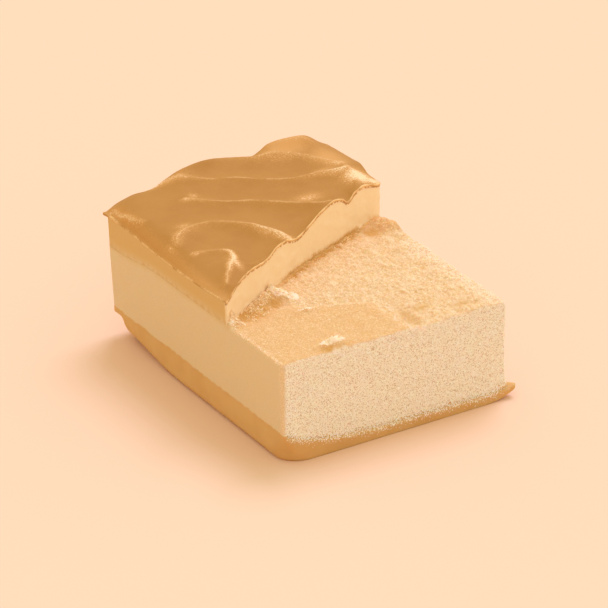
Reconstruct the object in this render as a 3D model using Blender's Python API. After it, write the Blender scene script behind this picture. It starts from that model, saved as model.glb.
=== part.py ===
"""A block of tiger skin cake with part of its top layer torn away.

Two pieces lie on each other: the pale sponge block, whose browned underside climbs its
left and back walls and sticks out as a small lip, and a thick egg layer with a wrinkled,
browned top that is torn off along a diagonal, so that crumbly sponge shows in front.
Lengths and heights below are in millimetres; solid_from makes them metres.
X runs along the cut end, Y along the long side, and Z up from the table.
"""

import math

import bmesh
import bpy
from mathutils import Vector, noise

MM = 0.001

# The block above its crust; the left and back walls lean out towards the top
BLOCK_LEFT, BLOCK_RIGHT = -33.4, 33.7
BLOCK_FRONT, BLOCK_BACK = -42.5, 42.9
WALL_LEAN = 0.6
SPONGE_TOP = 28.1
CORNER_RADII = {"front_left": 0.8, "front_right": 1.8, "back_right": 4.0, "back_left": 1.0}
LAYER_GAP = 0.3  # free space kept between the two pieces

# The browned crust under the block
CRUST_THICK = 2.4
EDGE_RADIUS, BACK_EDGE_RADIUS = 2.0, 7.0  # round bottom edge on the left and at the back
WRAP_TOP, WRAP_REACH = 8.3, 10.0
SKIRT, SKIRT_STEP = 0.6, 0.4  # how far the crust stands out, and the height it does so in
FOOT_CORNER = 8.0  # radius of the near left corner on the table
LIP_OUT, LIP_LENGTH = 3.9, 3.2
LIP_START, LIP_RISE, LIP_EDGE_THICK = 27.0, 3.0, 0.9
FLARE, FLARE_SHARE = 1.6, 0.12  # of the wall above the lip, and the share of its height it fades in

# The torn egg layer
LAYER_LEFT, LAYER_RIGHT, LAYER_BACK = -34.1, 33.9, 43.4
LAYER_CORNER = 1.0
TEAR_LEFT_Y, TEAR_RIGHT_Y, TEAR_BOW = -17.2, 17.0, 1.9
LOW_HEIGHT, RISE_ALONG_X, RISE_ALONG_Y = 33.9, 0.02, 0.095
LAYER_SAG, SKIN_OVERHANG = 2.0, 0.8

# Folds of the browned top. Each crest runs from one plan point to another and bows to
# its left by so much; the skin stands higher along it by one height at its start and
# another at its end, and this fades out within its reach.
FOLDS = (
    {"start": (14.5, 43.4), "end": (27.0, 42.6), "bow": 0.4, "heights": (2.4, 2.6), "reach": 2.6},
    {"start": (-12.5, 44.6), "end": (28.5, 27.0), "bow": 5.4, "heights": (3.2, 1.1), "reach": 3.6},
    {"start": (-22.5, 42.0), "end": (24.5, 21.0), "bow": -1.8, "heights": (0.6, 2.0), "reach": 3.2},
    {"start": (-17.0, 30.0), "end": (13.0, 8.8), "bow": 0.4, "heights": (1.0, 2.7), "reach": 3.2},
    {"start": (-29.5, 14.0), "end": (-4.5, -0.5), "bow": 7.6, "heights": (1.1, 2.4), "reach": 3.0},
    {"start": (-29.5, 7.9), "end": (-20.7, 2.4), "bow": 1.3, "heights": (0.7, 1.1), "reach": 2.2},
    {"start": (-20.7, 2.4), "end": (-28.0, -13.0), "bow": 1.4, "heights": (1.1, 2.1), "reach": 3.2},
    {"start": (27.5, 25.0), "end": (24.3, 12.0), "bow": -0.6, "heights": (0.8, 2.4), "reach": 2.8},
)
FAR_SHARE = 0.75  # a fold is steeper on its far side, by this share of its reach
CREST_SOFTNESS, FOLD_WOBBLE = 0.6, 0.7

# Height of the browned top along its edges: each reaches inwards so far, and runs through
# points of plan X (back and torn edge) or plan Y (left and right edge) with the height there
BACK_RIM = (2.4, ((-35, 35.6), (-28, 38.2), (-20, 38.8), (-12, 42.1), (-4, 43.1), (9.8, 40.8),
                  (20, 43.6), (28.6, 42.4), (35, 38.9)))
TORN_RIM = (1.8, ((-34.6, 34.5), (-21.6, 38.4), (-15, 37.6), (-9, 39.1), (-1.6, 37.1), (14, 40.9),
                  (19.6, 37.9), (25.9, 40.0), (33.8, 37.6)))
LEFT_RIM = (1.8, ((-17.7, 34.9), (15.1, 33.8), (44.5, 35.5)))
RIGHT_RIM = (1.8, ((16.0, 37.6), (27.0, 39.5), (44.0, 38.9)))

# Relief of the bare sponge in front of the tear
PLATEAU_RIGHT, PLATEAU_BACK, PLATEAU_TURN = 4.0, -25.0, -0.42
PLATEAU_DROP, DROP_REACH = 0.9, 7.0
CRUMB_DEPTH, CRUMB_SIZE = 0.5, 3.4
RIGHT_FALL, RIGHT_REACH = 1.0, 2.0  # the crumbled edge on the right, which fades out backwards
LUMPS = (  # x, y, height, half length along X, half length along Y
    (-16.4, -38.9, 1.9, 2.9, 1.5),
    (-14.1, -9.4, 1.7, 1.6, 4.4),
    (-12.6, -20.4, 0.8, 2.6, 0.9),
    (-32.2, -18.0, 1.2, 1.8, 1.6),
    (31.6, 12.6, 1.0, 3.4, 3.4),
    (33.0, 7.4, 2.1, 2.6, 1.6),
    (-24.8, -15.0, -0.9, 4.4, 5.4),
    (-17.2, -12.0, -0.6, 2.6, 3.8),
    (28.2, 10.6, -1.3, 3.6, 4.4),
)

BLOCK_CUTS = (36, 44, 8)
CRUST_STEPS = 3  # of the block's steps up its walls, those that are crust
LAYER_CUTS = (46, 40, 4)
SEED_SHIFT = Vector((3.7, 11.3, 5.1))  # where in Blender's noise the cake lies


def smooth_step(low, high, value):
    """0 below low, 1 above high, and an S curve between."""
    share = min(max((value - low) / (high - low), 0.0), 1.0)
    return share * share * (3.0 - 2.0 * share)


def blend(first, second, share):
    return first + (second - first) * share


def uneven(x, y, z, size):
    """Smooth noise from -1 to 1 whose bumps are about size across."""
    return noise.noise(Vector((x, y, z)) / size + SEED_SHIFT)


def eased(share, count):
    """Draws the outermost rows of an even spread towards its ends, where edges are round."""
    return blend(share, 0.5 - 0.5 * math.cos(math.pi * share), min(1.0, 10.0 / count))


def round_corner(x, y, sides, radii):
    """Moves a plan point of a rectangle (left, right, front, back) into its round corners."""
    left, right, front, back = sides
    on_left, at_front = x < (left + right) / 2, y < (front + back) / 2
    name = ("front" if at_front else "back") + ("_left" if on_left else "_right")
    radius = radii[name]
    reach_x = radius - (x - left if on_left else right - x)
    reach_y = radius - (y - front if at_front else back - y)
    if reach_x <= 0 or reach_y <= 0:
        return x, y
    inwards = 1.0 - max(reach_x, reach_y) / math.hypot(reach_x, reach_y)
    x += reach_x * inwards * (1 if on_left else -1)
    y += reach_y * inwards * (1 if at_front else -1)
    return x, y


def lip_lift(x):
    """How far the crust's right edge has curled up from the table."""
    share = max(x - LIP_START, 0.0) / (BLOCK_RIGHT + LIP_OUT - LIP_START)
    return LIP_RISE * share * share


def crust_underside(x, y):
    """Flat on the table, round at the left and back, and curling up on the right."""
    radius = blend(EDGE_RADIUS, BACK_EDGE_RADIUS, smooth_step(10.0, 40.0, y))
    past_left = max(radius - (x - BLOCK_LEFT), 0.0)
    past_back = max(radius - (BLOCK_BACK - y), 0.0)
    inside = min(math.hypot(past_left, past_back), radius)
    return radius - math.sqrt(radius**2 - inside**2) + lip_lift(x)


def crust_top(x, y):
    """Height at which the crust ends, which climbs towards the left and back walls."""
    from_left, from_back = max(x - BLOCK_LEFT, 0.0), max(BLOCK_BACK - y, 0.0)
    flat = (1.0 - math.exp(-from_left / WRAP_REACH)) * (1.0 - math.exp(-from_back / WRAP_REACH))
    taper = smooth_step(LIP_START, BLOCK_RIGHT + LIP_OUT, x)
    low = blend(CRUST_THICK, LIP_EDGE_THICK, taper) + lip_lift(x)
    return blend(WRAP_TOP, low, flat)


def tear_y(x):
    """Y of the torn edge across the block."""
    share = (x - LAYER_LEFT) / (LAYER_RIGHT - LAYER_LEFT)
    line = blend(TEAR_LEFT_Y, TEAR_RIGHT_Y, share)
    return line + TEAR_BOW * math.sin(math.pi * share) + 0.6 * uneven(x, 0, 0, 6.0)


def seat_height(x, y):
    """Height of the joint between sponge and egg layer, which sags at the back left corner."""
    near_left = math.exp(-(((x - LAYER_LEFT) / 12.0) ** 2))
    return SPONGE_TOP - LAYER_SAG * near_left * smooth_step(18.0, 40.0, y)


def off_plateau(x, y):
    """0 on the smooth corner of the bare sponge at the front left, 1 on the rough rest."""
    past_right = x - PLATEAU_RIGHT - 1.2 * uneven(0, y, 0, 6.0)
    past_back = y - PLATEAU_BACK - PLATEAU_TURN * (x - PLATEAU_RIGHT) - 0.8 * uneven(x, 0, 0, 6.0)
    return max(past_right, past_back)


def bare_relief(x, y):
    """Height of the crumbly sponge over its seat, nothing under the egg layer."""
    bare = smooth_step(0.4, 2.4, tear_y(x) - y)
    past = off_plateau(x, y)
    rough = smooth_step(-0.6, 1.4, past)
    crumb = uneven(x, y, 2.0, CRUMB_SIZE) + 0.5 * uneven(x, y, 9.0, CRUMB_SIZE * 0.45)
    height = CRUMB_DEPTH * crumb * blend(0.3, 1.0, rough)
    height -= PLATEAU_DROP * rough * math.exp(-max(past, 0.0) / DROP_REACH)
    height -= RIGHT_FALL * smooth_step(4.0, -30.0, y) * math.exp((x - BLOCK_RIGHT) / RIGHT_REACH)
    for lump_x, lump_y, lump_height, half_x, half_y in LUMPS:
        away = ((x - lump_x) / half_x) ** 2 + ((y - lump_y) / half_y) ** 2
        height += lump_height * math.exp(-away)
    return height * bare


def one_fold(x, y, fold):
    """Height that a single fold adds at a plan point."""
    (from_x, from_y), (to_x, to_y) = fold["start"], fold["end"]
    run_x, run_y = to_x - from_x, to_y - from_y
    length = math.hypot(run_x, run_y)
    along = ((x - from_x) * run_x + (y - from_y) * run_y) / length**2
    across = ((y - from_y) * run_x - (x - from_x) * run_y) / length
    inside = min(max(along, 0.0), 1.0)
    side = across - fold["bow"] * 4.0 * inside * (1.0 - inside)
    side /= FAR_SHARE if side > 0 else 1.0
    away = math.hypot(side, (along - inside) * length, CREST_SOFTNESS) - CREST_SOFTNESS
    return blend(*fold["heights"], inside) * math.exp(-away / fold["reach"])


def rim_height(points, spot):
    """Height of an edge of the browned top at a plan X or Y, smooth between its points."""
    for (start, low), (end, high) in zip(points, points[1:]):
        if spot <= end:
            return blend(low, high, smooth_step(start, end, spot))
    return points[-1][1]


def layer_top(x, y):
    """Height of the browned top over the table."""
    moved_x = x + FOLD_WOBBLE * uneven(x, y, 5.0, 9.0)
    moved_y = y + FOLD_WOBBLE * uneven(x, y, 15.0, 9.0)
    height = LOW_HEIGHT + RISE_ALONG_X * (x - LAYER_LEFT) + RISE_ALONG_Y * (y - TEAR_LEFT_Y)
    height += sum(one_fold(moved_x, moved_y, fold) for fold in FOLDS)
    edges = (
        (BACK_RIM, LAYER_BACK - y, x), (TORN_RIM, y - tear_y(x), x),
        (LEFT_RIM, x - LAYER_LEFT, y), (RIGHT_RIM, LAYER_RIGHT - x, y),
    )
    for (reach, points), inwards, spot in edges:
        height = blend(height, rim_height(points, spot), math.exp(-max(inwards, 0.0) / reach))
    return height


def crust_point(u, v, share):
    """Point on the outside of the crust, at a share of the way up it."""
    front, right = BLOCK_FRONT - SKIRT, BLOCK_RIGHT + SKIRT
    x, y = blend(BLOCK_LEFT, right, u), blend(front, BLOCK_BACK, v)
    foot_corner = blend(FOOT_CORNER, CORNER_RADII["front_left"], share)
    radii = {**CORNER_RADII, "front_left": foot_corner}
    x, y = round_corner(x, y, (BLOCK_LEFT, right, front, BLOCK_BACK), radii)
    lip = math.exp(-(y - front) / LIP_LENGTH) * smooth_step(LIP_START, right, x)
    x += (LIP_OUT - SKIRT) * lip
    return x, y, blend(crust_underside(x, y), crust_top(x, y), share)


def sponge_point(u, v, share):
    """Point on the outside of the sponge, at a share of the way up from its crust."""
    x, y = blend(BLOCK_LEFT, BLOCK_RIGHT, u), blend(BLOCK_FRONT, BLOCK_BACK, v)
    sides = (BLOCK_LEFT, BLOCK_RIGHT, BLOCK_FRONT, BLOCK_BACK)
    x, y = round_corner(x, y, sides, CORNER_RADII)
    crown = seat_height(x, y) - LAYER_GAP / 2 + bare_relief(x, y)
    flare = FLARE * math.exp(-(y - BLOCK_FRONT) / LIP_LENGTH - share / FLARE_SHARE)
    z = blend(crust_top(x, y) + SKIRT_STEP, crown, share)
    lean_x = flare * smooth_step(LIP_START, BLOCK_RIGHT, x)
    lean_x -= WALL_LEAN * share * smooth_step(BLOCK_LEFT + 8.0, BLOCK_LEFT, x)
    lean_y = WALL_LEAN * share * smooth_step(BLOCK_BACK - 8.0, BLOCK_BACK, y)
    return x + lean_x, y + lean_y, z


def block_point(u, v, w):
    """Point of the block for a point of the unit cube."""
    u, v = eased(u, BLOCK_CUTS[0]), eased(v, BLOCK_CUTS[1])
    step, steps = round(w * BLOCK_CUTS[2]), BLOCK_CUTS[2]
    if step <= CRUST_STEPS:
        return crust_point(u, v, step / CRUST_STEPS)
    return sponge_point(u, v, (step - CRUST_STEPS - 1) / (steps - CRUST_STEPS - 1))


def layer_point(u, v, w):
    """Point of the egg layer for a point of the unit cube."""
    x = blend(LAYER_LEFT, LAYER_RIGHT, eased(u, LAYER_CUTS[0]))
    y = blend(tear_y(x), LAYER_BACK, v)
    sides = (LAYER_LEFT, LAYER_RIGHT, BLOCK_FRONT, LAYER_BACK)
    x, y = round_corner(x, y, sides, dict.fromkeys(CORNER_RADII, LAYER_CORNER))
    z = blend(seat_height(x, y) + LAYER_GAP / 2, layer_top(x, y), w)
    out = SKIN_OVERHANG * w**3
    lean_x = -out * math.exp(-(x - LAYER_LEFT) / 2.0)
    lean_y = out * math.exp(-(LAYER_BACK - y) / 2.0)
    return x + lean_x, y + lean_y, z


def gridded_cube(cuts):
    """A closed unit cube with its faces cut into a grid of so many steps along X, Y and Z."""
    bm = bmesh.new()
    bmesh.ops.create_cube(bm, size=1.0)
    bmesh.ops.translate(bm, verts=bm.verts, vec=(0.5, 0.5, 0.5))
    for axis, steps in enumerate(cuts):
        along = [e for e in bm.edges if abs(e.verts[0].co[axis] - e.verts[1].co[axis]) > 0.5]
        bmesh.ops.subdivide_edges(bm, edges=along, cuts=steps - 1, use_grid_fill=True)
    return bm


def cake_material(name, colour, roughness):
    material = bpy.data.materials.new(name)
    material.use_nodes = True
    shader = material.node_tree.nodes["Principled BSDF"]
    shader.inputs["Base Color"].default_value = (*colour, 1.0)
    shader.inputs["Roughness"].default_value = roughness
    return material


def solid_from(name, cuts, point, material, parent):
    """Bends a gridded cube with point, and makes it an object of that name."""
    bm = gridded_cube(cuts)
    for vert in bm.verts:
        vert.co = Vector(point(*vert.co)) * MM
    bmesh.ops.recalc_face_normals(bm, faces=bm.faces)
    mesh = bpy.data.meshes.new(name)
    bm.to_mesh(mesh)
    bm.free()
    mesh.shade_smooth()
    mesh.set_sharp_from_angle(angle=math.radians(50))
    mesh.materials.append(material)
    piece = bpy.data.objects.new(name, mesh)
    bpy.context.scene.collection.objects.link(piece)
    piece.parent = parent
    return piece


def middle_of(pieces):
    """Middle of all the pieces in plan."""
    points = [v.co for piece in pieces for v in piece.data.vertices]
    return [(min(p[k] for p in points) + max(p[k] for p in points)) / 2 for k in (0, 1)]


def main():
    for old in list(bpy.data.objects):
        bpy.data.objects.remove(old, do_unlink=True)
    cake = bpy.data.objects.new("cake", None)
    bpy.context.scene.collection.objects.link(cake)
    sponge = cake_material("sponge_crumb", (0.85, 0.6, 0.33), 0.9)
    yolk = cake_material("egg_layer", (0.8, 0.45, 0.16), 0.75)
    pieces = (
        solid_from("sponge_block", BLOCK_CUTS, block_point, sponge, cake),
        solid_from("tiger_skin_layer", LAYER_CUTS, layer_point, yolk, cake),
    )
    middle_x, middle_y = middle_of(pieces)
    cake.location = (-middle_x, -middle_y, 0.0)


main()
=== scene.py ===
import math
import random

import bmesh
import bpy
import numpy as np
from mathutils import Matrix, Vector, noise


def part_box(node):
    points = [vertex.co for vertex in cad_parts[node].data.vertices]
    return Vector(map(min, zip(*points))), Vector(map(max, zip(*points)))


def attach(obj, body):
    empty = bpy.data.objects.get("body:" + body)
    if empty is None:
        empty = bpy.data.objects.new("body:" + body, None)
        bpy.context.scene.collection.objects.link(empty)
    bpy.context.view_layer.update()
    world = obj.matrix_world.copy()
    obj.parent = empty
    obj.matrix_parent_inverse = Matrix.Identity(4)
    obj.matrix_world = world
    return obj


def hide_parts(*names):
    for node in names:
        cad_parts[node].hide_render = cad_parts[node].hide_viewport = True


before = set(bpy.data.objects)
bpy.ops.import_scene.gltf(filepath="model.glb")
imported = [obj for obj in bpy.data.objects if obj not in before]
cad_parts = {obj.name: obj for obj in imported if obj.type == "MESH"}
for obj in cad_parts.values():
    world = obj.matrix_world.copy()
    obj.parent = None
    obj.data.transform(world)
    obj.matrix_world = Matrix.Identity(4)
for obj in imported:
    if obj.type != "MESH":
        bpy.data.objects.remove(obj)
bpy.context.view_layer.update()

mm = 0.001
seedShift = Vector((3.7, 11.3, 5.1))  # where in Blender's noise the cake lies
print("frame loaded")

# Sizes are millimetres in the cake's own plan, and planShift takes them to the frame.


def smoothStep(low, high, value):
    share = np.clip((value - low) / (high - low), 0.0, 1.0)
    return share * share * (3.0 - 2.0 * share)


def blend(first, second, share):
    return first + (second - first) * share


def uneven(x, y, z, size):  # smooth noise from -1 to 1 with bumps about that size
    spots = np.stack(np.broadcast_arrays(x, y, z), -1) / size
    return np.array([noise.noise(Vector(spot) + seedShift) for spot in spots])


def lumpy(x, y, z, size):  # rounded lumps with creases between them, 0 to about 1
    return np.abs(uneven(x, y, z, size)) * 1.8


lumpyMiddle = 0.3  # what lumpy gives on average, near enough


def spotMask(x, y, spotX, spotY, halfX, halfY):  # 1 in the middle of a soft oval spot, 0 outside
    return np.exp(-(((x - spotX) / halfX) ** 2) - ((y - spotY) / halfY) ** 2)


block = {
    "left": -33.4, "right": 33.7, "front": -42.5, "back": 42.9,
    "lean": 0.6, "leanReach": 8.0,  # how far the left and back walls lean out at the top
    "top": 28.1,
    "corners": {"frontLeft": 0.8, "frontRight": 1.8, "backRight": 4.0, "backLeft": 1.0},
    "sag": 2.0, "sagReach": 12.0, "sagAlong": (18.0, 40.0),  # how the joint sinks at the back left
}
crust = {
    "thick": 2.4,
    "edgeRadius": 2.0, "backEdgeRadius": 7.0, "edgeAlong": (10.0, 40.0),  # of the round foot
    "wrapTop": 8.3, "wrapReach": 10.0,  # how high it climbs the left and back walls
    "skirt": 0.6, "step": 0.4, "footCorner": 8.0,  # how far it stands out in front and on the right
    "lipOut": 3.9, "lipLength": 3.2, "lipStart": 27.0, "lipRise": 3.0, "lipThick": 0.9,
    "flare": 1.6, "flareShare": 0.12,  # of the wall above the lip, and how high up it reaches
}
tear = {"leftY": -17.2, "rightY": 17.0, "bow": 1.9, "waver": 0.6, "waverSize": 6.0}
layer = {"left": -34.1, "right": 33.9, "back": 43.4, "corner": 1.0}

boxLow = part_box("sponge_block")[0]
planShift = (
    boxLow.x / mm - (block["left"] - block["lean"]),
    boxLow.y / mm - (block["front"] - crust["skirt"]),
)


def roundCorner(x, y, sides, radii):  # moves plan points of a rectangle into its corners
    left, right, front, back = sides
    onLeft, atFront = x < (left + right) / 2, y < (front + back) / 2
    radius = np.where(
        atFront,
        np.where(onLeft, radii["frontLeft"], radii["frontRight"]),
        np.where(onLeft, radii["backLeft"], radii["backRight"]),
    )
    reachX = np.maximum(radius - np.where(onLeft, x - left, right - x), 0.0)
    reachY = np.maximum(radius - np.where(atFront, y - front, back - y), 0.0)
    both = (reachX > 0) & (reachY > 0)
    far = np.hypot(reachX, reachY)
    inwards = np.where(both, 1.0 - np.maximum(reachX, reachY) / np.maximum(far, 1e-9), 0.0)
    x = x + reachX * inwards * np.where(onLeft, 1, -1)
    y = y + reachY * inwards * np.where(atFront, 1, -1)
    return x, y


def lipLift(x):  # the lip rises off the table towards its tip
    reach = block["right"] + crust["lipOut"] - crust["lipStart"]
    return crust["lipRise"] * (np.maximum(x - crust["lipStart"], 0.0) / reach) ** 2


def crustUnderside(x, y):
    radius = blend(crust["edgeRadius"], crust["backEdgeRadius"], smoothStep(*crust["edgeAlong"], y))
    pastLeft = np.maximum(radius - (x - block["left"]), 0.0)
    pastBack = np.maximum(radius - (block["back"] - y), 0.0)
    inside = np.minimum(np.hypot(pastLeft, pastBack), radius)
    return radius - np.sqrt(radius**2 - inside**2) + lipLift(x)


def crustTop(x, y):
    reach = crust["wrapReach"]
    fromLeft = np.maximum(x - block["left"], 0.0)
    fromBack = np.maximum(block["back"] - y, 0.0)
    flat = (1.0 - np.exp(-fromLeft / reach)) * (1.0 - np.exp(-fromBack / reach))
    taper = smoothStep(crust["lipStart"], block["right"] + crust["lipOut"], x)
    low = blend(crust["thick"], crust["lipThick"], taper) + lipLift(x)
    return blend(crust["wrapTop"], low, flat)


def tearY(x):
    share = (x - layer["left"]) / (layer["right"] - layer["left"])
    line = blend(tear["leftY"], tear["rightY"], share)
    line = line + tear["bow"] * np.sin(math.pi * share)
    return line + tear["waver"] * uneven(x, 0.0, 0.0, tear["waverSize"])


def seatHeight(x, y):  # of the joint between the sponge and the egg layer
    nearLeft = np.exp(-(((x - layer["left"]) / block["sagReach"]) ** 2))
    return block["top"] - block["sag"] * nearLeft * smoothStep(*block["sagAlong"], y)


# The bare top: a smooth golden corner, a rough pale rest, and lumps and hollows
bare = {
    "shown": (0.4, 2.4),  # how far ahead of the tear the relief starts, and where it is full
    "plateau": {  # the smooth corner: two straight sides, and how far and how finely they waver
        "right": 4.0, "back": -25.0, "turn": -0.42, "edge": (-2.0, 2.6),
        "rightWaver": 1.8, "backWaver": 1.6, "waverSize": 6.0, "fraySize": 1.8,
    },
    "roughAtTear": 0.75, "roughAhead": (8.0, 22.0),  # smoother near the tear
    "drop": 0.9, "dropReach": 7.0,  # of the rough part, deepest at the plateau's edge
    "depth": 0.4, "size": 3.4, "onPlateau": 0.4,
    "clods": {"height": 0.3, "size": 2.0},
    "grains": {"height": 0.36, "size": 0.9, "onPlateau": 0.15},
    "rightFall": (1.0, 0.0), "rightReach": 2.0, "fallAlong": (-30.0, 4.0),  # the crumbled right edge
    "brink": {"pale": 0.6, "wide": 0.9, "fromX": -14.0, "patchSize": 2.6},
    "haze": {"pale": 0.5, "reach": 14.0, "along": (5.0, -2.0)},  # paler towards the right edge
    "lumps": (  # x, y, height, half x, half y, how pale, where 0 is smooth and golden
        (-17.0, -39.6, 1.8, 3.5, 1.7, 1.0),
        (-24.4, -12.9, 0.8, 2.0, 1.6, 0.45),
        (-21.4, -11.2, 1.1, 2.0, 1.7, 0.5),
        (-18.2, -9.4, 1.3, 2.0, 1.8, 0.6),
        (-15.2, -7.2, 1.7, 1.7, 1.7, 1.4),
        (-13.7, -9.2, 1.3, 1.8, 2.2, 1.4),
        (-11.8, -12.4, 1.0, 1.7, 2.4, 1.1),
        (-12.6, -20.4, 0.8, 2.6, 0.9, 0.6),
        (-32.2, -17.2, 1.6, 1.8, 2.0, 0.9),
        (31.6, 12.6, 1.0, 3.4, 3.4, 0.0),
        (32.8, 8.4, 1.7, 2.6, 2.4, 0.0),
    ),
    "hollows": (  # x, y, depth, half x, half y, how golden and shaded, the shade painted into the pit
        (-25.6, -15.0, 0.7, 4.4, 3.6, 1.15),
        (-20.8, -13.0, 0.5, 3.8, 3.0, 1.0),
        (-17.2, -11.8, 0.4, 2.8, 3.0, 1.0),
        (-3.2, -0.6, 0.2, 3.8, 1.5, 0.9),
        (11.0, 6.0, 0.2, 3.8, 1.5, 0.8),
        (26.6, 9.2, 0.5, 3.6, 3.4, 0.9),
        (-19.4, -41.6, 0.2, 3.0, 1.5, 0.9),
        (-15.8, -41.9, 0.0, 2.6, 1.0, 0.5),
        (7.8, -36.0, 0.3, 2.2, 6.0, 0.6),
        (13.0, -34.0, 0.2, 3.2, 2.2, 0.7),
        (22.8, -37.6, 0.3, 3.4, 1.6, 0.6),
    ),
    "groove": {  # along the foot of the torn face, its golden colour partly painted shade in the groove
        "depth": 0.3, "ahead": 0.8, "wide": 2.0, "golden": 1.2,
        "from": -12.0, "easeIn": 6.0, "to": 27.0, "easeOut": 4.0,
    },
}


def offPlateau(x, y):  # how far a spot lies outside the smooth corner
    p = bare["plateau"]
    pastRight = x - p["right"] - p["rightWaver"] * uneven(0.0, y, 0.0, p["waverSize"])
    pastRight = pastRight - uneven(x, y, 0.0, p["fraySize"])
    pastBack = y - p["back"] - p["turn"] * (x - p["right"])
    pastBack = pastBack - p["backWaver"] * uneven(x, y, 0.0, p["waverSize"])
    return np.maximum(pastRight, pastBack - uneven(x, y, 7.0, p["fraySize"]))


def openFoot(x):  # 1 where the torn face stands clear of the sponge
    groove = bare["groove"]
    start = smoothStep(groove["from"], groove["from"] + groove["easeIn"], x)
    return start * smoothStep(groove["to"], groove["to"] - groove["easeOut"], x)


def grooveShare(x, y, ahead):
    groove = bare["groove"]
    wide = groove["wide"] * np.clip(1.0 + 1.6 * uneven(x, 0.0, 4.0, 2.4), 0.4, 2.0)
    share = openFoot(x) * np.exp(-(((ahead - groove["ahead"]) / wide) ** 2))
    return share * np.clip(0.75 + 1.1 * uneven(x, y, 4.0, 1.4), 0.0, 1.0)


def crumbRelief(x, y, past, rough):  # three sizes of crumb, and the drop off the plateau
    clods, grains = bare["clods"], bare["grains"]
    coarse = uneven(x, y, 2.0, bare["size"]) + 0.5 * uneven(x, y, 9.0, bare["size"] * 0.45)
    height = bare["depth"] * blend(bare["onPlateau"], 1.0, rough) * coarse
    height -= bare["drop"] * rough * np.exp(-np.maximum(past, 0.0) / bare["dropReach"])
    height += clods["height"] * rough * (lumpy(x, y, 30.0, clods["size"]) - lumpyMiddle)
    grainShare = grains["height"] * blend(grains["onPlateau"], 1.0, rough)
    height += grainShare * (lumpy(x, y, 50.0, grains["size"]) - lumpyMiddle)
    fall = blend(*bare["rightFall"], smoothStep(*bare["fallAlong"], y))
    height -= fall * np.exp((x - block["right"]) / bare["rightReach"])
    return height


def paleShare(x, y, past):  # the plateau's brink, with painted light where its raised edge catches it, and the right edge
    brink, haze = bare["brink"], bare["haze"]
    patches = smoothStep(-0.1, 0.5, uneven(x, y, 60.0, brink["patchSize"]))
    onBrink = brink["pale"] * np.exp(-((past / brink["wide"]) ** 2)) * (x > brink["fromX"]) * patches
    atRight = haze["pale"] * smoothStep(haze["reach"], 0.0, block["right"] - x)
    return np.maximum(onBrink, atRight * smoothStep(*haze["along"], y))


def bareTop(x, y):  # height over the seat, and the masks that colour it
    ahead = tearY(x) - y
    shown = smoothStep(*bare["shown"], ahead)
    past = offPlateau(x, y)
    rough = smoothStep(*bare["plateau"]["edge"], past)
    rough = rough * blend(bare["roughAtTear"], 1.0, smoothStep(*bare["roughAhead"], ahead))
    height = crumbRelief(x, y, past, rough)
    pale = paleShare(x, y, past)
    hollow, lumps = np.zeros_like(x), np.zeros_like(x)
    for lumpX, lumpY, lift, halfX, halfY, paleness in bare["lumps"]:
        mask = spotMask(x, y, lumpX, lumpY, halfX, halfY) * smoothStep(-0.3, 0.5, ahead)
        lumps += lift * mask * (0.8 + 0.5 * lumpy(x, y, 70.0, 1.1))
        if paleness == 0:  # a smooth golden lump
            rough = rough * (1 - np.minimum(1.5 * mask, 1.0))
        # The pale spot sits toward the lump's lit back: pale crumb, with a painted highlight
        lit = spotMask(x, y, lumpX, lumpY + 0.3 * halfY, halfX, halfY)
        pale = np.maximum(pale, paleness * smoothStep(0.15, 0.55, lit))
    for hollowX, hollowY, depth, halfX, halfY, golden in bare["hollows"]:
        mask = spotMask(x, y, hollowX, hollowY, halfX, halfY)
        height -= depth * mask
        hollow = np.maximum(hollow, golden * mask)
    trough = grooveShare(x, y, ahead)
    height = height * shown + lumps - bare["groove"]["depth"] * trough
    hollow = np.maximum(hollow, bare["groove"]["golden"] * trough)
    return height, rough * shown, pale, hollow


def griddedCube(cuts):  # a closed unit cube cut into so many steps along X, Y and Z
    bm = bmesh.new()
    bmesh.ops.create_cube(bm, size=1.0)
    bmesh.ops.translate(bm, verts=bm.verts, vec=(0.5, 0.5, 0.5))
    for axis, steps in enumerate(cuts):
        along = [e for e in bm.edges if abs(e.verts[0].co[axis] - e.verts[1].co[axis]) > 0.5]
        bmesh.ops.subdivide_edges(bm, edges=along, cuts=steps - 1, use_grid_fill=True)
    return bm


def onlyFaces(bm, holds):  # the faces whose corners all lie where holds says
    return [face for face in bm.faces if all(holds(vert.co) for vert in face.verts)]


def mergeFaces(bm, level, low, high):  # one face for the hidden middle of the top or the bottom
    def hidden(spot):
        flat = abs(spot.z - level) < 1e-6
        return flat and low[0] <= spot.x <= high[0] and low[1] <= spot.y <= high[1]

    bmesh.ops.dissolve_faces(bm, faces=onlyFaces(bm, hidden), use_verts=True)


def coordinates(mesh, what="co"):
    flat = np.empty(len(mesh.vertices) * 3, np.float32)
    mesh.vertices.foreach_get(what, flat)
    return flat.reshape(-1, 3).astype(float)


def place(mesh, x, y, z):
    spots = np.stack([x + planShift[0], y + planShift[1], z], -1) * mm
    mesh.vertices.foreach_set("co", spots.astype(np.float32).ravel())
    mesh.update()


def writeMasks(mesh, masks):  # numbers a vertex carries for its material
    for name, values in masks.items():
        attribute = mesh.attributes.new(name, "FLOAT", "POINT")
        attribute.data.foreach_set("value", np.asarray(values, np.float32))


def newPiece(name, bm, node, finish):
    mesh = bpy.data.meshes.new(name)
    bm.to_mesh(mesh)
    bm.free()
    mesh.shade_smooth()
    mesh.materials.append(finish)
    piece = bpy.data.objects.new(name, mesh)
    bpy.context.scene.collection.objects.link(piece)
    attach(piece, "root")
    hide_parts(node)
    return piece


def pushOut(mesh, amount):  # moves every vertex along its normal by so many millimetres
    moved = coordinates(mesh) + coordinates(mesh, "normal") * amount[:, None] * mm
    mesh.vertices.foreach_set("co", moved.astype(np.float32).ravel())
    mesh.update()


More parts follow.
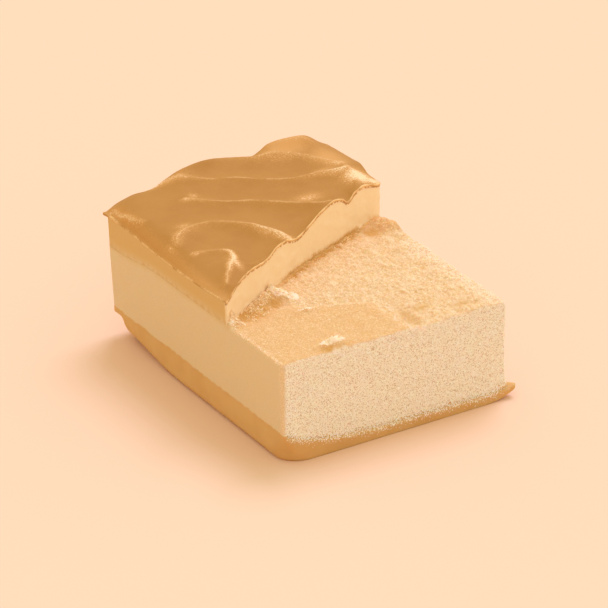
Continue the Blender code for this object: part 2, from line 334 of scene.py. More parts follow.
class Wire:  # one socket, so that shader maths reads as plain expressions
    def __init__(self, finish, socket):
        self.finish, self.socket = finish, socket

    def maths(self, operation, *others, first=None):
        values = [first, self, *others] if first is not None else [self, *others]
        return self.finish.node("ShaderNodeMath", {"operation": operation}, dict(enumerate(values)))

    def __add__(self, other):
        return self.maths("ADD", other)

    def __radd__(self, other):
        return self.maths("ADD", first=other)

    def __sub__(self, other):
        return self.maths("SUBTRACT", other)

    def __rsub__(self, other):
        return self.maths("SUBTRACT", first=other)

    def __mul__(self, other):
        return self.maths("MULTIPLY", other)

    def __rmul__(self, other):
        return self.maths("MULTIPLY", first=other)

    def step(self, low, high):  # 0 at low and 1 at high, smooth between
        values = {"Value": self, "From Min": low, "From Max": high}
        return self.finish.node("ShaderNodeMapRange", {"interpolation_type": "SMOOTHSTEP"}, values)


class Finish:  # one procedural material
    def __init__(self, name):
        self.material = bpy.data.materials.new(name)
        self.material.use_nodes = True
        self.tree = self.material.node_tree
        self.shader = self.tree.nodes["Principled BSDF"]
        where = {0: self.node("ShaderNodeTexCoord", {}, {}, "Object"), "Scale": 1 / mm}
        self.spot = self.node("ShaderNodeVectorMath", {"operation": "SCALE"}, where)

    def node(self, kind, settings, values, output=0):
        made = self.tree.nodes.new(kind)
        for key, value in settings.items():
            setattr(made, key, value)
        for key, value in values.items():
            self.feed(made.inputs[key], value)
        return Wire(self, made.outputs[output])

    def feed(self, socket, value):
        if isinstance(value, Wire):
            self.tree.links.new(value.socket, socket)
        else:
            socket.default_value = value

    def set(self, **values):  # shader sockets, with a name's words run together
        named = {socket.name.replace(" ", ""): socket for socket in self.shader.inputs}
        for name, value in values.items():
            self.feed(named[name], value)

    def grain(self, size, detail=1.0, roughness=0.5, stretch=None):
        spot = self.spot
        if stretch:
            spot = self.node("ShaderNodeVectorMath", {"operation": "MULTIPLY"}, {0: spot, 1: stretch})
        values = {"Vector": spot, "Scale": 1 / size, "Detail": detail, "Roughness": roughness}
        return self.node("ShaderNodeTexNoise", {}, values)

    def nook(self, reach):  # 1 deep in a crease no wider than reach, 0 in the open: where warm light is painted into creases
        values = {"Distance": reach * mm}
        return self.node("ShaderNodeAmbientOcclusion", {"samples": 4}, values, "AO").step(0.95, 0.3)

    def mask(self, name):
        return self.node("ShaderNodeAttribute", {"attribute_name": name}, {}, "Fac")

    def mix(self, share, first, second):
        made = self.tree.nodes.new("ShaderNodeMix")
        made.data_type = "RGBA"
        self.feed(made.inputs["Factor"], share)
        self.feed(made.inputs[6], first)
        self.feed(made.inputs[7], second)
        return Wire(self, made.outputs[2])

    def bump(self, height, distance, strength):
        values = {"Height": height, "Distance": distance * mm, "Strength": strength}
        return self.node("ShaderNodeBump", {}, values, "Normal")


def paint(red, green, blue):  # a colour as a screen shows it, 0 to 255, as the shader wants it
    return (*(((c / 255 + 0.055) / 1.055) ** 2.4 for c in (red, green, blue)), 1.0)


spongeColours = {
    "cut": paint(246, 230, 209),
    "cutLight": paint(255, 252, 244),
    "cutDark": paint(198, 154, 106),
    "wall": paint(222, 191, 146),
    "band": paint(221, 186, 135),
    "golden": paint(218, 166, 106),
    "rough": paint(228, 187, 140),
    "topLight": paint(252, 226, 186),
    "topDark": paint(216, 164, 98),
    # pale crumb, and painted light on the lumps' lit sides and on the brinks
    "pale": paint(249, 222, 190),
    # darker golden crumb, and painted shade in the hollows and along the groove
    "hollow": paint(204, 148, 75),
    "crust": paint(216, 168, 106),
    "crustDark": paint(212, 163, 100),
    # painted warm light for the creases of the top and the crumbs, in place of light scattered
    # through the crumb
    "nook": paint(250, 206, 134),
}


def spongeFinish():
    f = Finish("spongeCrumbFinish")
    c = spongeColours
    fine, speck, patch = f.grain(0.3, 1.0), f.grain(0.28, 0.0), f.grain(6.0, 2.0)
    crumb, chip = f.grain(0.55, 1.0), f.grain(0.7, 0.0, 0.5, (1.3, 0.6, 1.0))
    clump = f.grain(2.0, 2.0, 0.5, (1.2, 0.6, 1.0))
    cut, top, rough = f.mask("cut"), f.mask("bareTop"), f.mask("rough")
    # The cut faces and the walls
    under = (f.mask("underLayer") + 0.3 * (patch - 0.5)).step(0.0, 1.0)
    face = f.mix(cut, f.mix(under, c["wall"], c["band"]), c["cut"])
    face = f.mix(fine.step(0.5, 0.72) * (0.06 + 0.74 * cut), face, c["cutLight"])
    face = f.mix(speck.step(0.5, 0.24) * (0.1 + 0.65 * cut), face, c["cutDark"])
    # The bare top
    bared = f.mix(rough * (0.3 + 0.9 * patch), c["golden"], c["rough"])
    bared = f.mix(clump.step(0.5, 0.75) * (0.15 + 0.35 * rough), bared, c["topLight"])
    bared = f.mix(clump.step(0.45, 0.25) * (0.1 + 0.3 * rough), bared, c["topDark"])
    bared = f.mix(crumb.step(0.5, 0.7) * (0.2 + 0.45 * rough), bared, c["topLight"])
    bared = f.mix(chip.step(0.42, 0.24) * (0.2 + 0.45 * rough), bared, c["topDark"])
    bared = f.mix(fine.step(0.5, 0.7) * 0.5, bared, c["topLight"])
    bared = f.mix(speck.step(0.5, 0.24) * 0.45, bared, c["topDark"])
    colour = f.mix(top, face, bared)
    colour = f.mix((f.mask("pale") + 1.1 * (fine - 0.5)).step(0.25, 0.85), colour, c["pale"])
    # Darker golden in the hollows and along the groove, partly painted shade there
    deep = (f.mask("hollow") + 0.8 * (crumb + clump - 1.0)).step(0.2, 0.9)
    colour = f.mix(deep * 0.9, colour, c["hollow"])
    # Painted warm light in the creases of the bare top
    colour = f.mix(top * f.nook(1.2) * 0.8, colour, c["nook"])
    # The crust, with a frayed edge where it meets the cut crumb
    over = f.mask("overCrust")
    fuzz = 0.7 + 4.0 * cut
    crustShare = (over + fuzz * (fine - 0.5) + fuzz * (speck - 0.5)).step(0.15, -0.15)
    brown = f.mix(patch.step(0.35, 0.65), c["crust"], c["crustDark"])
    colour = f.mix(crustShare, colour, brown)
    relief = (1 - crustShare) * (0.05 + 0.6 * cut * fine + top * (0.3 + 0.7 * rough) * (crumb + chip))
    f.set(
        BaseColor=colour, Roughness=0.92, SubsurfaceWeight=0.6,
        SubsurfaceRadius=(1.0, 0.6, 0.3), SubsurfaceScale=1.0 * mm, SpecularIORLevel=0.15,
        Normal=f.bump(relief, 0.16, 0.8),
    )
    return f.material


spongeMesh = {
    "cuts": (172, 218, 72), "crustRows": 11, "ledgeRows": 3,
    "softening": 5,  # passes that round the upper edges
    "hidden": 3.0,  # how far in from the tear and the walls the covered top is one face
    "underside": ((0.1, 0.04), (0.86, 0.86)),  # its one hidden face, as shares of the plan
    "sideRim": 0.6, "cutRim": 0.9,  # how far in the rounded upper edges reach
}


def crustSpot(u, v, share):  # the crust's side, from its underside up to its top
    front, right = block["front"] - crust["skirt"], block["right"] + crust["skirt"]
    x, y = blend(block["left"], right, u), blend(front, block["back"], v)
    radii = dict(block["corners"])
    radii["frontLeft"] = blend(crust["footCorner"], radii["frontLeft"], share)
    x, y = roundCorner(x, y, (block["left"], right, front, block["back"]), radii)
    lip = np.exp(-(y - front) / crust["lipLength"]) * smoothStep(crust["lipStart"], right, x)
    x = x + (crust["lipOut"] - crust["skirt"]) * lip
    return x, y, blend(crustUnderside(x, y), crustTop(x, y), share)


def wallSpot(u, v, share):  # the wall and the top over the crust, with the bare top's masks
    sides = (block["left"], block["right"], block["front"], block["back"])
    x, y = blend(sides[0], sides[1], u), blend(sides[2], sides[3], v)
    x, y = roundCorner(x, y, sides, block["corners"])
    relief, rough, pale, hollow = bareTop(x, y)
    z = blend(crustTop(x, y) + crust["step"], seatHeight(x, y) + relief * share**8, share)
    flare = np.exp(-(y - sides[2]) / crust["lipLength"] - share / crust["flareShare"])
    x = x + crust["flare"] * flare * smoothStep(crust["lipStart"], sides[1], x)
    x = x - block["lean"] * share * smoothStep(sides[0] + block["leanReach"], sides[0], x)
    y = y + block["lean"] * share * smoothStep(sides[3] - block["leanReach"], sides[3], y)
    return (x, y, z), (rough, pale, hollow)


def spongeGrid():
    bm = griddedCube(spongeMesh["cuts"])
    mergeFaces(bm, 0.0, *spongeMesh["underside"])
    wide, deep = block["right"] - block["left"], block["back"] - block["front"]
    keep = spongeMesh["hidden"]
    across = np.array([vert.co.x for vert in bm.verts])
    tearAt = (tearY(blend(block["left"], block["right"], across)) + keep - block["front"]) / deep
    tearShare = {round(x, 6): share for x, share in zip(across, tearAt)}

    def covered(spot):
        inside = spot.z > 1 - 1e-6 and keep / wide < spot.x < 1 - keep / wide
        return inside and tearShare[round(spot.x, 6)] < spot.y < 1 - keep / deep

    bmesh.ops.dissolve_faces(bm, faces=onlyFaces(bm, covered), use_verts=True)
    bmesh.ops.recalc_face_normals(bm, faces=bm.faces)
    return bm


def shapeSponge(bm):  # takes the cube to the block, and returns the masks of its bare top
    s = spongeMesh
    u, v, w = np.array([vert.co[:] for vert in bm.verts]).T
    level, foot = w * s["cuts"][2], s["crustRows"] + s["ledgeRows"]
    crustShare = np.clip(level / s["crustRows"], 0, 1)
    ledge = np.clip((level - s["crustRows"]) / s["ledgeRows"], 0, 1)
    wallShare = np.clip((level - foot) / (s["cuts"][2] - foot), 0, 1)
    high, topMasks = wallSpot(u, v, wallShare)
    x, y, z = blend(np.stack(crustSpot(u, v, crustShare)), np.stack(high), ledge)
    for vert, spot in zip(bm.verts, np.stack([x, y, z], -1)):
        vert.co = spot
    # The uncovered upper edges are rounded
    edges = (x < block["left"] + s["sideRim"]) | (x > block["right"] - s["cutRim"])
    edges = (edges | (y < block["front"] + s["cutRim"])) & (y < tearY(x) - 0.2)
    edges = edges & (w > 1 - 2.5 / s["cuts"][2])
    rim = {"verts": [vert for vert, onEdge in zip(bm.verts, edges) if onEdge], "factor": 0.5}
    for _ in range(s["softening"]):
        bmesh.ops.smooth_vert(bm, **rim, use_axis_x=True, use_axis_y=True, use_axis_z=True)
    return topMasks


def topAndCut(x, y, z, normal):  # how far a spot is bare top, cut face, or neither
    left, right, front = block["left"], block["right"], block["front"]
    facing = np.maximum(-normal[:, 1], normal[:, 0])
    onTop = smoothStep(0.45, 0.8, normal[:, 2]) * (z > block["top"] - 4.0)
    faceCut = np.maximum(smoothStep(0.3, 0.7, -normal[:, 1]), smoothStep(0.3, 0.7, normal[:, 0]))
    seen = np.maximum(onTop, faceCut * smoothStep(left + 0.2, left + 0.9, x))
    inwards = 0.5 * (np.minimum(y - front, right - x) - seatHeight(x, y) + z)
    inwards += 1.3 * (normal[:, 2] - facing)
    inwards = smoothStep(-1.6, 1.6, inwards + 1.3 * uneven(x, y, z, 1.2))
    return seen * inwards, seen * (1 - inwards), 1 - seen


def makeSponge():
    left, right, front, top = (block[side] for side in ("left", "right", "front", "top"))
    bm = spongeGrid()
    rough, pale, hollow = shapeSponge(bm)
    x, y, z = np.array([vert.co[:] for vert in bm.verts]).T
    piece = newPiece("spongeBlock", bm, "sponge_block", spongeFinish())
    place(piece.data, x, y, z)
    onTop, cut, other = topAndCut(x, y, z, coordinates(piece.data, "normal"))
    # Paler colour on the left brink and beside the front cut, painted light on the rounded upper
    # edges
    brink = smoothStep(1.6, 0.2, top - z) * smoothStep(1.2, 0.4, x - left) * (y < tearY(x) - 1.0)
    nearFront = smoothStep(3.0, 0.0, y - front) * (z > 6.0) * other
    pale = np.maximum(pale * onTop, np.maximum(0.4 * brink, 0.4 * nearFront))
    atLip = smoothStep(crust["lipStart"] + 3.0, right + 2.0, x)
    overCrust = z - crustTop(x, y) - 0.2 + 0.35 * uneven(x, y, z, 1.6) - 1.2 * atLip
    pores = 0.13 * uneven(x, y, z, 0.75) + 0.09 * uneven(x, y, z + 40, 0.42)
    offSeat = seatHeight(x, y) - z
    swell = 0.05 * uneven(x, y, z, 3.0) * smoothStep(0.2, 2.0, np.abs(offSeat))
    amount = smoothStep(-0.1, 0.5, overCrust) * np.maximum(cut, onTop) * pores + swell
    pushOut(piece.data, amount * (z > 0.3))
    below = smoothStep(2.0, 0.2, offSeat + 0.5 * uneven(x, y, z, 4.0))
    writeMasks(piece.data, {
        "cut": cut, "bareTop": onTop, "rough": rough, "pale": pale, "hollow": hollow * onTop,
        "overCrust": overCrust, "underLayer": below * (y > tearY(x) - 1.0),
    })


makeSponge()
print("sponge block made")


skin = {
    "thick": 0.5, "cuts": (200, 170, 2),
    "overhang": 0.25,  # beyond the walls of the layer
    "tip": 1.1, "tipReach": 2.0,  # more at the back left corner
    "lipOver": 0.3, "fray": 0.3,  # beyond the torn face
    "lowHeight": 33.9, "riseX": 0.02, "riseY": 0.095,
    "softness": 0.4, "farShare": 0.75,  # of a wrinkle: round top, and steeper beyond its crest
    "broadSway": 0.5, "broadSize": 9.0, "fineSway": 0.25, "fineSize": 2.5,
    "lineWide": 0.34, "lineWaver": 0.25, "lineRise": 1.4,  # a wrinkle this high has a full crest line
    "bloomWaver": 0.6,
    "relief": 0.05, "reliefSize": 2.4,
    "leftGolden": 0.5, "leftReach": (4.5, 0.5), "leftRim": 0.6,
}
# Height of the skin along its edges: reach inwards, then plan X or Y and height
rims = {
    "back": (2.4, (
        (-35.0, 35.6), (-31.7, 37.2), (-28.1, 38.1), (-25.7, 38.5), (-20.5, 38.7), (-16.0, 40.6),
        (-12.0, 42.1), (-6.8, 43.0), (-2.2, 43.0), (4.6, 41.9), (9.8, 40.8), (12.6, 41.7),
        (15.5, 43.2), (20.0, 43.6), (25.9, 43.3), (28.6, 42.4), (31.6, 40.5), (35.0, 38.9))),
    "torn": (1.8, (
        (-34.6, 34.5), (-32.8, 36.0), (-28.2, 37.8), (-21.6, 38.4), (-15.0, 37.6), (-11.2, 39.0),
        (-7.3, 38.9), (-4.4, 37.6), (-1.6, 37.1), (3.3, 38.4), (8.6, 40.3), (14.0, 40.9),
        (17.6, 39.6), (19.6, 37.9), (21.4, 38.4), (22.7, 39.4), (25.9, 40.0), (29.5, 39.0),
        (33.8, 37.6))),
    "left": (1.8, (
        (-17.7, 34.9), (-3.6, 34.0), (15.1, 33.8), (28.8, 34.6), (37.2, 35.0), (44.5, 35.5))),
    "right": (1.8, (
        (16.0, 37.6), (22.4, 37.8), (24.6, 38.7), (27.0, 39.5), (31.0, 39.3), (39.0, 39.1),
        (44.0, 38.9))),
}
# Crests of the wrinkles: reach, half width of the pale bloom of painted light along them, how clear a
# painted highlight line the crest is, then plan points, each with the crest's rise and paleness there
crests = {
    "hump": (2.6, 2.4, 0.5, (
        (14.5, 43.4, 2.4, 0.2), (19.5, 43.8, 2.6, 0.4), (25.0, 42.6, 2.6, 0.4),
        (27.0, 40.0, 1.6, 0.2))),
    "backRidge": (3.4, 2.4, 0.8, (
        (-12.5, 44.6, 3.2, 0.3), (-3.5, 44.9, 3.0, 0.1), (4.3, 43.4, 2.8, 0.2),
        (10.1, 40.2, 2.3, 0.4), (16.3, 38.6, 1.8, 0.45), (20.7, 35.9, 1.5, 0.4),
        (24.4, 32.6, 1.3, 0.4), (28.3, 27.6, 1.1, 0.6))),
    "first": (3.2, 1.8, 1.0, (
        (-20.7, 44.3, 0.6, 0.6), (-15.6, 42.3, 1.0, 0.6), (-11.8, 39.6, 1.2, 0.4),
        (-6.9, 36.4, 1.2, 0.2), (-0.5, 34.2, 1.3, 0.15), (6.0, 29.8, 1.4, 0.15),
        (13.2, 26.4, 1.6, 0.25), (20.6, 25.0, 1.9, 0.5), (27.0, 23.2, 2.0, 0.8))),
    "second": (3.2, 1.5, 1.0, (
        (-16.9, 31.3, 0.9, 0.6), (-13.3, 28.2, 1.2, 0.3), (-8.5, 24.7, 1.4, 0.1),
        (-3.8, 21.9, 1.6, 0.2), (0.2, 18.9, 1.9, 0.25), (4.8, 15.1, 2.2, 0.1),
        (9.3, 11.7, 2.5, 0.15), (13.6, 9.4, 2.7, 0.3))),
    "third": (3.0, 1.9, 1.0, (
        (-30.4, 13.8, 1.0, 0.4), (-27.4, 17.4, 1.2, 0.5), (-21.8, 18.2, 1.5, 0.3),
        (-16.4, 16.6, 1.7, 0.25), (-11.0, 12.5, 2.0, 0.35), (-8.1, 8.4, 2.2, 0.6),
        (-5.9, 4.1, 2.3, 0.8), (-4.3, -0.6, 2.4, 0.7))),
    "hook": (2.6, 1.2, 1.0, (
        (-29.3, 7.6, 0.6, 0.5), (-26.8, 6.8, 0.8, 0.4), (-23.9, 5.7, 1.0, 0.1),
        (-20.6, 3.7, 1.1, 0.6), (-21.3, -0.2, 1.3, 0.9), (-24.4, -3.5, 1.6, 0.7),
        (-27.4, -6.9, 1.9, 0.5), (-30.4, -10.6, 2.0, 0.4))),
    "spur": (1.6, 1.0, 1.0, (
        (-20.4, -3.4, 0.3, 0.1), (-17.6, -4.4, 0.6, 0.2), (-15.0, -4.7, 0.8, 0.1))),
    "corner": (1.8, 1.0, 1.0, (
        (-33.8, 42.0, 1.1, 0.6), (-32.9, 34.7, 1.3, 0.6), (-31.7, 28.5, 0.7, 0.4))),
    "rightFold": (2.6, 1.6, 0.25, (
        (28.5, 24.0, 0.8, 0.6), (27.4, 18.9, 1.6, 0.5), (24.8, 12.4, 2.2, 0.1))),
}


def throughPoints(points, steps=8):  # a smooth run through listed points
    spots = np.array(points)
    padded = np.vstack([2 * spots[0] - spots[1], spots, 2 * spots[-1] - spots[-2]])
    run = []
    for a, b, c, d in zip(padded, padded[1:], padded[2:], padded[3:]):
        for t in np.arange(steps) / steps:
            run.append(0.5 * (2 * b + (c - a) * t + (2 * a - 5 * b + 4 * c - d) * t**2
                              + (3 * b - a - 3 * c + d) * t**3))
    return np.array(run + [spots[-1]])


def alongCrest(x, y, points):  # distance to the crest, whether beyond it, its rise and paleness
    run = throughPoints(points)
    best, side = np.full_like(x, 1e9), np.zeros_like(x)
    rise, paleness = np.zeros_like(x), np.zeros_like(x)
    for (ax, ay, *start), (bx, by, *end) in zip(run, run[1:]):
        dx, dy = bx - ax, by - ay
        t = np.clip(((x - ax) * dx + (y - ay) * dy) / (dx * dx + dy * dy), 0, 1)
        away = np.hypot(x - ax - t * dx, y - ay - t * dy)
        nearer = away < best
        best = np.where(nearer, away, best)
        side = np.where(nearer, (y - ay) * dx - (x - ax) * dy, side)
        rise = np.where(nearer, blend(start[0], end[0], t), rise)
        paleness = np.where(nearer, blend(start[1], end[1], t), paleness)
    return best, side > 0, rise, paleness


def rimHeight(name, spots):  # of the skin along one edge
    run = throughPoints(rims[name][1])
    return np.interp(spots, run[:, 0], run[:, 1])


def sway(x, y, level):  # how far a crest strays, in broad and in fine bends
    broad = skin["broadSway"] * uneven(x, y, level, skin["broadSize"])
    return broad + skin["fineSway"] * uneven(x, y, level + 20.0, skin["fineSize"])


def skinTop(x, y):  # height of the browned top, its crest lines painted as highlights, and the pale bloom of painted light beside them
    swayedX, swayedY = x + sway(x, y, 5.0), y + sway(x, y, 15.0)
    height = skin["lowHeight"] + skin["riseX"] * (x - layer["left"])
    height = height + skin["riseY"] * (y - tear["leftY"])
    crest, glow = np.zeros_like(x), np.zeros_like(x)
    wide = skin["lineWide"] + skin["lineWaver"] * uneven(x, y, 45.0, 5.0)
    spread = 1.0 + skin["bloomWaver"] * uneven(x, y, 65.0, 4.0)
    for reach, bloom, line, points in crests.values():
        away, beyond, rise, paleness = alongCrest(swayedX, swayedY, points)
        away = away / np.where(beyond, skin["farShare"], 1.0)
        soft = np.hypot(away, skin["softness"]) - skin["softness"]
        height += rise * np.exp(-soft / reach)
        clear = line * np.minimum(rise, skin["lineRise"]) / skin["lineRise"]
        crest = np.maximum(crest, clear * np.exp(-((away / wide) ** 2)))
        glow = np.maximum(glow, paleness * np.exp(-((away / (bloom * spread)) ** 2)))
    crest = crest * smoothStep(-0.7, 0.3, uneven(x, y, 55.0, 4.0))
    ways = {
        "back": (layer["back"] - y, x), "torn": (y - tearY(x), x),
        "left": (x - layer["left"], y), "right": (layer["right"] - x, y),
    }
    for name, (inwards, along) in ways.items():
        share = np.exp(-np.maximum(inwards, 0.0) / rims[name][0])
        height = blend(height, rimHeight(name, along), share)
    return height, crest, glow


layerColours = {
    "torn": paint(255, 224, 181),
    "band": paint(216, 174, 110),
    "bandLow": paint(221, 187, 138),
    "light": paint(255, 230, 188),
    # painted shade at the foot of the torn face
    "dark": paint(228, 180, 114),
    "fleck": paint(208, 158, 92),
    # painted shadow under the overhanging skin
    "seam": paint(188, 132, 66),
}


def layerFinish():
    f = Finish("eggLayerFinish")
    c = layerColours
    fine, soft, dots = f.grain(0.5, 2.0), f.grain(1.6, 2.0), f.grain(0.7, 0.0)
    torn, above = f.mask("torn"), f.mask("aboveSeat")
    colour = f.mix((above + 1.2 * (soft - 0.5)).step(-0.8, 2.8), c["bandLow"], c["band"])
    colour = f.mix(torn, colour, c["torn"])
    colour = f.mix(fine.step(0.55, 0.75) * torn * 0.4, colour, c["light"])
    # Painted shade at the foot of the torn face, where it stands clear of the sponge
    colour = f.mix((f.mask("foot") + 0.8 * (fine + soft - 1.0)).step(0.3, 0.9), colour, c["dark"])
    flecks = above.step(1.6, 0.1) * (1 - torn) * soft.step(0.45, 0.6)
    colour = f.mix(flecks * 0.5, colour, c["fleck"])
    # Painted shadow: a dotted dark line on the torn face just under the skin's edge
    seam = f.mask("underTop").step(1.0, 0.45) * torn * dots.step(0.3, 0.55)
    colour = f.mix(seam * 0.9, colour, c["seam"])
    f.set(
        BaseColor=colour, Roughness=0.85, SubsurfaceWeight=0.1,
        SubsurfaceRadius=(1.0, 0.8, 0.6), SubsurfaceScale=0.4 * mm, SpecularIORLevel=0.2,
        Normal=f.bump(fine + soft, 0.06, 0.6),
    )
    return f.material


eggLayer = {
    "cuts": (176, 150, 30),
    "merged": ((0.04, 0.06), (0.96, 0.96)),  # its hidden foot and top, as shares of the plan
    "sink": 0.3,  # how far its foot dips into the sponge
    "underSkin": 0.35,  # how far its edge lies under the top of the skin
    "hollowed": 4.0, "hollowAlong": (0.8, 2.2),  # its covered top lies lower, this far in
    "deep": 44.0,  # from the tear to the back, near enough
    "bulge": 0.3, "footInset": 0.16, "leftReach": 2.0,  # of its left wall, at the top and the foot
    "footRecess": 0.05, "footHeight": 1.2, "footLumps": 0.35,
}


def layerPlan(u, v, out=0.0, ahead=0.0, fray=0.0):  # out past the walls, ahead of the torn face
    left, right, back = layer["left"] - out, layer["right"] + 0.3 * out, layer["back"] + out
    x = blend(left, right, u)
    front = tearY(x) - ahead - fray * (uneven(x, 0.0, 3.0, 2.6) + 0.5 * uneven(x, 0.0, 7.0, 0.9))
    y = blend(front, back, v)
    radii = dict.fromkeys(block["corners"], layer["corner"])
    return roundCorner(x, y, (left, right, block["front"], back), radii)


def makeEggLayer():
    s = eggLayer
    bm = griddedCube(s["cuts"])
    for level in (0.0, 1.0):
        mergeFaces(bm, level, *s["merged"])
    u, v, w = np.array([vert.co[:] for vert in bm.verts]).T
    piece = newPiece("eggLayer", bm, "tiger_skin_layer", layerFinish())
    x, y = layerPlan(u, v)
    atLeft = np.exp(-(x - layer["left"]) / s["leftReach"])
    x = x + atLeft * (s["footInset"] * np.exp(-6 * w) - s["bulge"] * w**3)
    low, high = seatHeight(x, y) - s["sink"], skinTop(x, y)[0] - s["underSkin"]
    fromSides = np.minimum(u, 1 - u) * (layer["right"] - layer["left"])
    fromEdge = np.minimum(fromSides, np.minimum(v, 1 - v) * s["deep"])
    high = high - s["hollowed"] * smoothStep(*s["hollowAlong"], fromEdge)
    z = blend(low, high, w)
    torn = smoothStep(2.0 / s["cuts"][1], 0.0, v)
    above = z - low - s["sink"]
    nearFoot = np.exp(-np.maximum(above, 0.0) / s["footHeight"])
    foot = torn * openFoot(x) * nearFoot
    y = y + s["footRecess"] * foot * (1 + uneven(x, 0.0, 19.0, 2.0))
    place(piece.data, x, y, z)
    amount = 0.14 * uneven(x, y, z, 2.2) + 0.06 * uneven(x, y, z + 20, 0.8)
    amount = amount * np.where(torn > 0.5, 1.0, 0.4 * smoothStep(0.2, 2.0, above))
    amount += torn * nearFoot * s["footLumps"] * (lumpy(x, y, z, 1.3) - lumpyMiddle)
    pushOut(piece.data, amount * (w < 1))
    writeMasks(piece.data, {"torn": torn, "aboveSeat": above, "foot": foot, "underTop": high - z})


makeEggLayer()
print("egg layer made")


skinColours = {
    "brown": paint(186, 129, 58),
    "deep": paint(182, 125, 54),
    "golden": paint(214, 154, 84),
    "crestLight": paint(226, 176, 112),
    # painted highlight
    "worn": paint(249, 212, 162),
    "edge": paint(244, 196, 132),
}


def skinFinish():
    f = Finish("tigerSkinFinish")
    c = skinColours
    patch, fine = f.grain(9.0, 2.0), f.grain(0.42, 1.0)
    colour = f.mix(patch.step(0.35, 0.7), c["deep"], c["brown"])
    # Golden along the left edge and in patches; the patches are largely painted light on the hump and
    # the right side
    colour = f.mix((f.mask("golden") + 0.3 * (fine - 0.5)).step(0.0, 1.0), colour, c["golden"])
    # A pale bloom beside the crests, painted light
    glow = f.mask("glow")
    colour = f.mix((glow + 0.6 * (fine - 0.5)).step(0.0, 0.75), colour, c["golden"])
    # Crest lines painted as thin highlights
    crest = (f.mask("crest") + 0.5 * (fine - 0.5)).step(0.25, 1.0)
    colour = f.mix(crest * 0.75, colour, c["crestLight"])
    # The brightest parts of the bloom, painted highlight
    colour = f.mix((glow + 1.3 * (fine - 0.5)).step(0.4, 1.1), colour, c["worn"])
    colour = f.mix((f.mask("rim") + 0.5 * (fine - 0.5)).step(0.2, 0.8), colour, c["edge"])
    f.set(
        BaseColor=colour, Roughness=0.7, SubsurfaceWeight=0.05,
        SubsurfaceRadius=(1.0, 0.6, 0.3), SubsurfaceScale=0.5 * mm, SpecularIORLevel=0.2,
        Normal=f.bump(fine + 2.0 * f.grain(2.2, 3.0), 0.03, 0.6),
    )
    return f.material


# Where highlights are painted on the skin, then where it is golden, largely painted light on the hump
# and the right side: x, y, half x, half y, strength
paintedHighlightSpots = (
    (28.6, 19.4, 4.4, 3.8, 1.15), (32.0, 17.8, 3.0, 2.2, 1.0), (-14.4, 32.2, 1.6, 1.8, 0.5),
    (-24.4, 20.2, 2.4, 2.0, 0.5), (-32.0, 13.4, 0.9, 2.6, 0.45), (-28.6, 7.0, 1.3, 0.9, 0.6),
    (-22.4, -2.0, 1.5, 3.6, 0.8), (11.6, 17.4, 4.4, 2.2, 0.55),
)
goldenSpots = (
    (20.0, 41.5, 9.0, 4.5, 0.9), (28.0, 33.0, 5.0, 7.0, 0.8), (22.8, 26.4, 4.0, 2.0, 0.6),
    (12.6, 17.6, 5.0, 2.8, 0.45), (-16.0, 41.6, 5.0, 1.6, 0.5), (29.0, 22.0, 5.0, 4.0, 0.7),
)


def strongest(x, y, start, spots):  # a mask with soft oval spots laid over it
    for spotX, spotY, halfX, halfY, strength in spots:
        start = np.maximum(start, strength * spotMask(x, y, spotX, spotY, halfX, halfY))
    return start


def rimShare(x, y):  # the pale thin edge along the tear and, fainter, on the left
    fromTear = y - tearY(x) + skin["lipOver"]
    fromLeft = x - layer["left"] + skin["overhang"]
    atTear = smoothStep(0.7, 0.1, fromTear) * np.clip(0.8 + 0.8 * uneven(x, 0.0, 40.0, 2.5), 0.2, 1.0)
    atLeft = smoothStep(0.55, 0.1, fromLeft) * np.clip(0.9 + uneven(x, y, 80.0, 3.0), 0.4, 1.0)
    return np.maximum(atTear, skin["leftRim"] * atLeft * (y < layer["back"] - 1.0))


def makeSkin():
    s = skin
    bm = griddedCube(s["cuts"])
    u, v, w = np.array([vert.co[:] for vert in bm.verts]).T
    piece = newPiece("tigerSkin", bm, "tiger_skin_layer", skinFinish())
    x, y = layerPlan(u, v, s["overhang"], s["lipOver"], s["fray"])
    tip = s["tip"] * np.exp(-np.hypot(x - layer["left"], y - layer["back"]) / s["tipReach"])
    x, y = x - tip, y + 0.4 * tip
    top, crest, glow = skinTop(x, y)
    place(piece.data, x, y, top - s["thick"] * (1 - w))
    pushOut(piece.data, s["relief"] * uneven(x, y, 0.0, s["reliefSize"]) * (w > 0.5))
    golden = s["leftGolden"] * smoothStep(*s["leftReach"], x - layer["left"])
    writeMasks(piece.data, {
        "crest": crest, "glow": strongest(x, y, glow, paintedHighlightSpots),
        "golden": strongest(x, y, golden, goldenSpots), "rim": rimShare(x, y),
    })


makeSkin()
print("tiger skin made")


crumbs = {
    "seed": 5, "sizes": (0.13, 0.36), "squash": (0.6, 1.0), "jagged": 0.3,
    "sunk": 0.2,  # in the sponge, as a share of the smallest size
    "scatter": 0.5, "toneSpread": 0.4, "clearOfEdge": 0.3,
    "dark": paint(249, 206, 150), "light": paint(255, 229, 192),
    "heaps": (  # from x, y to x, y, half width, height, how pale, how many
        (-15.0, -6.2, -12.0, -13.6, 1.0, 0.1, 1.1, 60),
        (-26.0, -13.4, -15.0, -7.6, 2.2, 0.5, 0.9, 230),
        (-33.8, -16.2, -30.4, -14.5, 0.9, 2.6, 1.2, 150),
        (-33.0, -17.6, -30.0, -18.8, 1.2, 0.3, 1.0, 90),
        (-28.0, -17.0, -19.0, -13.5, 2.4, 0.1, 0.8, 60),
        (-19.6, -39.2, -14.6, -39.0, 1.0, 0.1, 1.1, 40),
        (4.6, -24.0, 3.6, -41.5, 0.8, 0.1, 0.7, 60),
        (-14.6, -18.0, 1.0, -24.4, 0.8, 0.1, 0.6, 50),
        (-9.0, -4.0, 27.0, 13.0, 0.8, 0.2, 0.4, 90),
    ),
}


